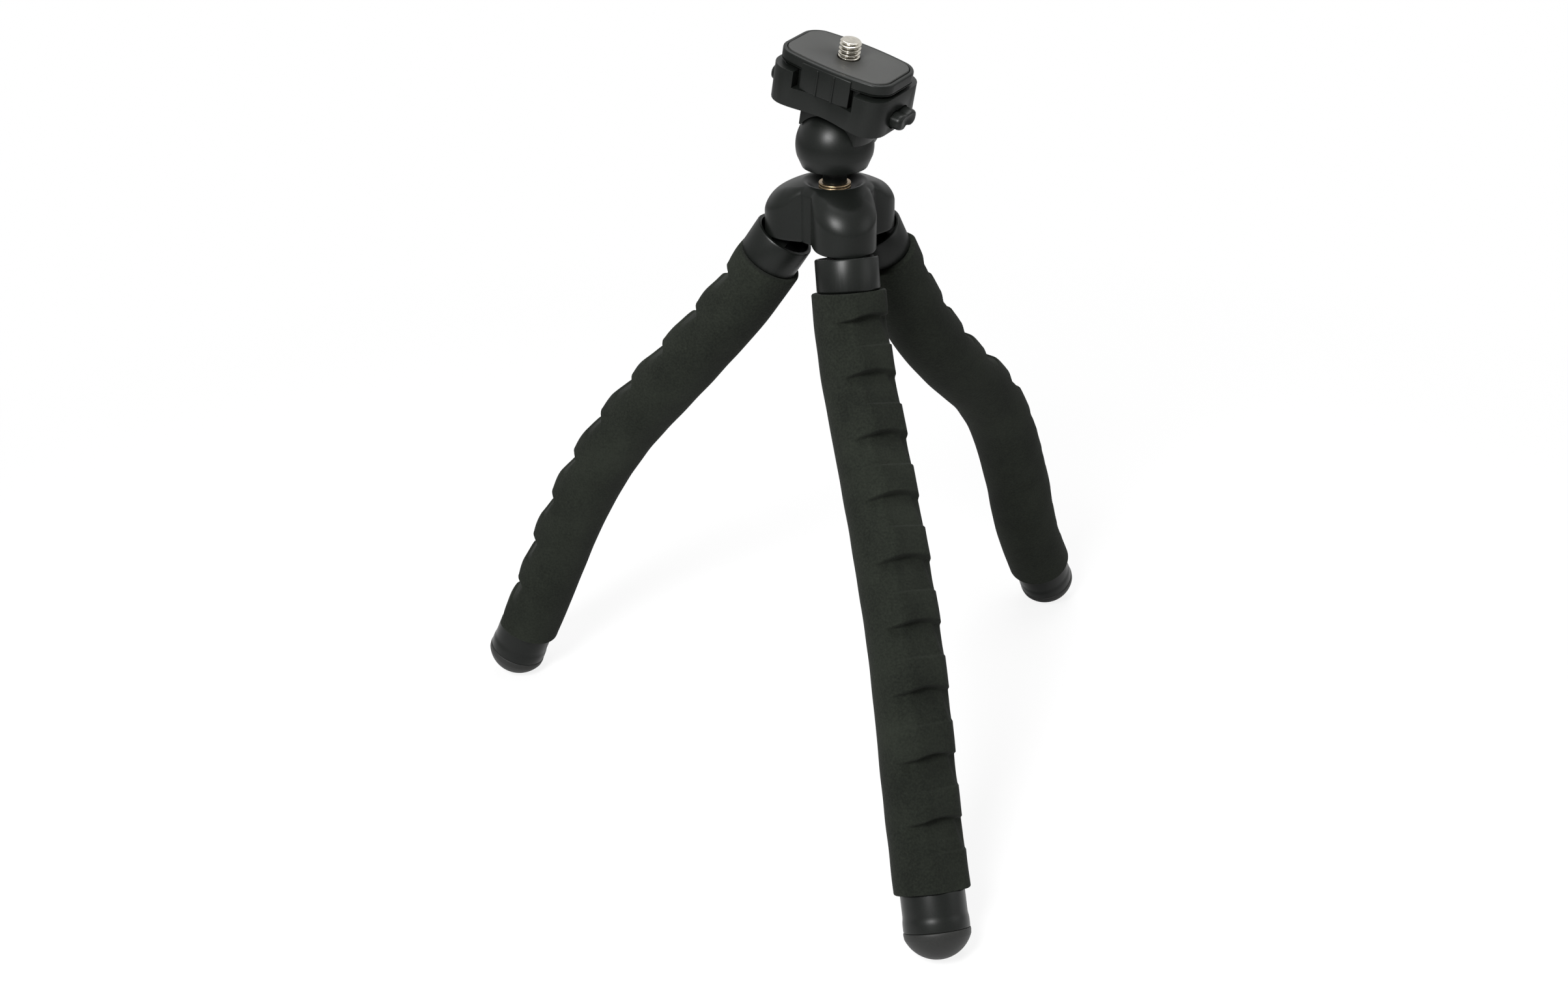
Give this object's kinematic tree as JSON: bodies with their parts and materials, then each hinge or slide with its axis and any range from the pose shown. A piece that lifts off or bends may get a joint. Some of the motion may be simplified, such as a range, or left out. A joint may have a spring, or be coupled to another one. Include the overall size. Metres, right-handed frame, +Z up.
{
  "type": "flexible leg tripod",
  "caption": "Small camera tripod with bendable grooved foam legs on a hinged hub, a ball head, a push-button plate receiver and a quick release plate with a camera screw.",
  "frame": {"origin": "on the floor, under the middle of the standing outline", "axes": "+Z up, the front leg points toward -Y, the other two toward +Y and to each side"},
  "size_m": [0.2198, 0.203, 0.2393],
  "materials": {
    "shell": "satin",
    "foam": "matt closed-cell foam",
    "rubber": "matt",
    "grip": "matt",
    "steel": "nickel plated",
    "bronze": "dull bronze"
  },
  "bodies": {
    "hub": {"hub_body": "shell", "hinge_pins": "steel", "base_cap": "shell", "stem_nut": "bronze"},
    "ball": {"ball_stem": "shell", "stem_washer": "steel", "stem_screw": "steel"},
    "brake": {"brake_pad": "rubber"},
    "head": {"socket_neck": "shell", "neck_screws": "steel", "receiver": "shell", "left_button_spring": "steel", "right_button_spring": "steel"},
    "lock": {"lock_screw": "steel", "lock_knob": "shell"},
    "left_button": {"left_release_button": "shell", "left_latch_slider": "shell"},
    "right_button": {"right_release_button": "shell", "right_latch_slider": "shell"},
    "plate": {"quick_plate": "shell", "plate_pad": "grip"},
    "screw": {"camera_screw": "steel", "screw_clip": "steel"},
    "front_leg": {"front_collar": "shell", "front_core_upper": "steel", "front_sleeve_upper": "foam", "front_sleeve_bend": "foam"},
    "front_leg_end": {"front_core_lower": "steel", "front_sleeve_lower": "foam", "front_foot_collar": "shell", "front_foot_tip": "rubber"},
    "left_leg": {"left_collar": "shell", "left_core_upper": "steel", "left_sleeve_upper": "foam", "left_sleeve_bend": "foam"},
    "left_leg_end": {"left_core_lower": "steel", "left_sleeve_lower": "foam", "left_foot_collar": "shell", "left_foot_tip": "rubber"},
    "right_leg": {"right_collar": "shell", "right_core_upper": "steel", "right_sleeve_upper": "foam", "right_sleeve_bend": "foam"},
    "right_leg_end": {"right_core_lower": "steel", "right_sleeve_lower": "foam", "right_foot_collar": "shell", "right_foot_tip": "rubber"}
  },
  "joints": [
    {"name": "head_pan", "type": "hinge", "parent": "hub", "child": "ball", "pos_m": [0.00151, 0.02762, 0.20643], "axis": [0, 0, 1], "continuous": true},
    {"name": "head_roll", "type": "hinge", "parent": "ball", "child": "brake", "pos_m": [0.00151, 0.02762, 0.20643], "axis": [0.6947, -0.7193, 0], "range_deg": [-24, 38]},
    {"name": "head_pitch", "type": "hinge", "parent": "brake", "child": "head", "pos_m": [0.00151, 0.02762, 0.20643], "axis": [0.7176, 0.693, 0.0698], "range_deg": [-34, 30]},
    {"name": "lock_knob_turn", "type": "hinge", "parent": "head", "child": "lock", "pos_m": [0.01324, 0.03819, 0.21008], "axis": [0.7176, 0.693, 0.0698], "range_deg": [0, 180]},
    {"name": "left_button_press", "type": "slide", "parent": "head", "child": "left_button", "axis": [0.6899, -0.6935, -0.2074], "range_m": [0, 0.002], "stiffness_N_per_m": 900, "springref_m": -0.0012, "deforming": ["left_button_spring"]},
    {"name": "right_button_press", "type": "slide", "parent": "head", "child": "right_button", "axis": [-0.6899, 0.6935, 0.2074], "range_m": [0, 0.002], "stiffness_N_per_m": 900, "springref_m": -0.0012, "deforming": ["right_button_spring"]},
    {"name": "plate_lift", "type": "slide", "parent": "head", "child": "plate", "axis": [0.0953, -0.197, 0.9758], "range_m": [0, 0.012]},
    {"name": "camera_screw_turn", "type": "hinge", "parent": "plate", "child": "screw", "pos_m": [0.00418, 0.0221, 0.23375], "axis": [0.0953, -0.197, 0.9758], "continuous": true},
    {"name": "front_leg_hinge", "type": "hinge", "parent": "hub", "child": "front_leg", "pos_m": [0.00151, 0.01542, 0.18223], "axis": [-1, 0, 0], "range_deg": [-10, 28]},
    {"name": "front_leg_bend", "type": "hinge", "parent": "front_leg", "child": "front_leg_end", "pos_m": [0.00382, -0.03731, 0.09505], "axis": [0.9999, 0.0108, 0], "range_deg": [-45, 60], "deforming": ["front_sleeve_bend"]},
    {"name": "left_leg_hinge", "type": "hinge", "parent": "hub", "child": "left_leg", "pos_m": [-0.00906, 0.03372, 0.18223], "axis": [0.5, 0.866, 0], "range_deg": [-25, 13]},
    {"name": "left_leg_bend", "type": "hinge", "parent": "left_leg", "child": "left_leg_end", "pos_m": [-0.06061, 0.06899, 0.10046], "axis": [-0.5763, -0.8172, 0], "range_deg": [-45, 60], "deforming": ["left_sleeve_bend"]},
    {"name": "right_leg_hinge", "type": "hinge", "parent": "hub", "child": "right_leg", "pos_m": [0.01207, 0.03372, 0.18223], "axis": [0.5, -0.866, 0], "range_deg": [-21, 17]},
    {"name": "right_leg_bend", "type": "hinge", "parent": "right_leg", "child": "right_leg_end", "pos_m": [0.06466, 0.06647, 0.10084], "axis": [-0.5585, 0.8295, 0], "range_deg": [-45, 60], "deforming": ["right_sleeve_bend"]}
  ]
}
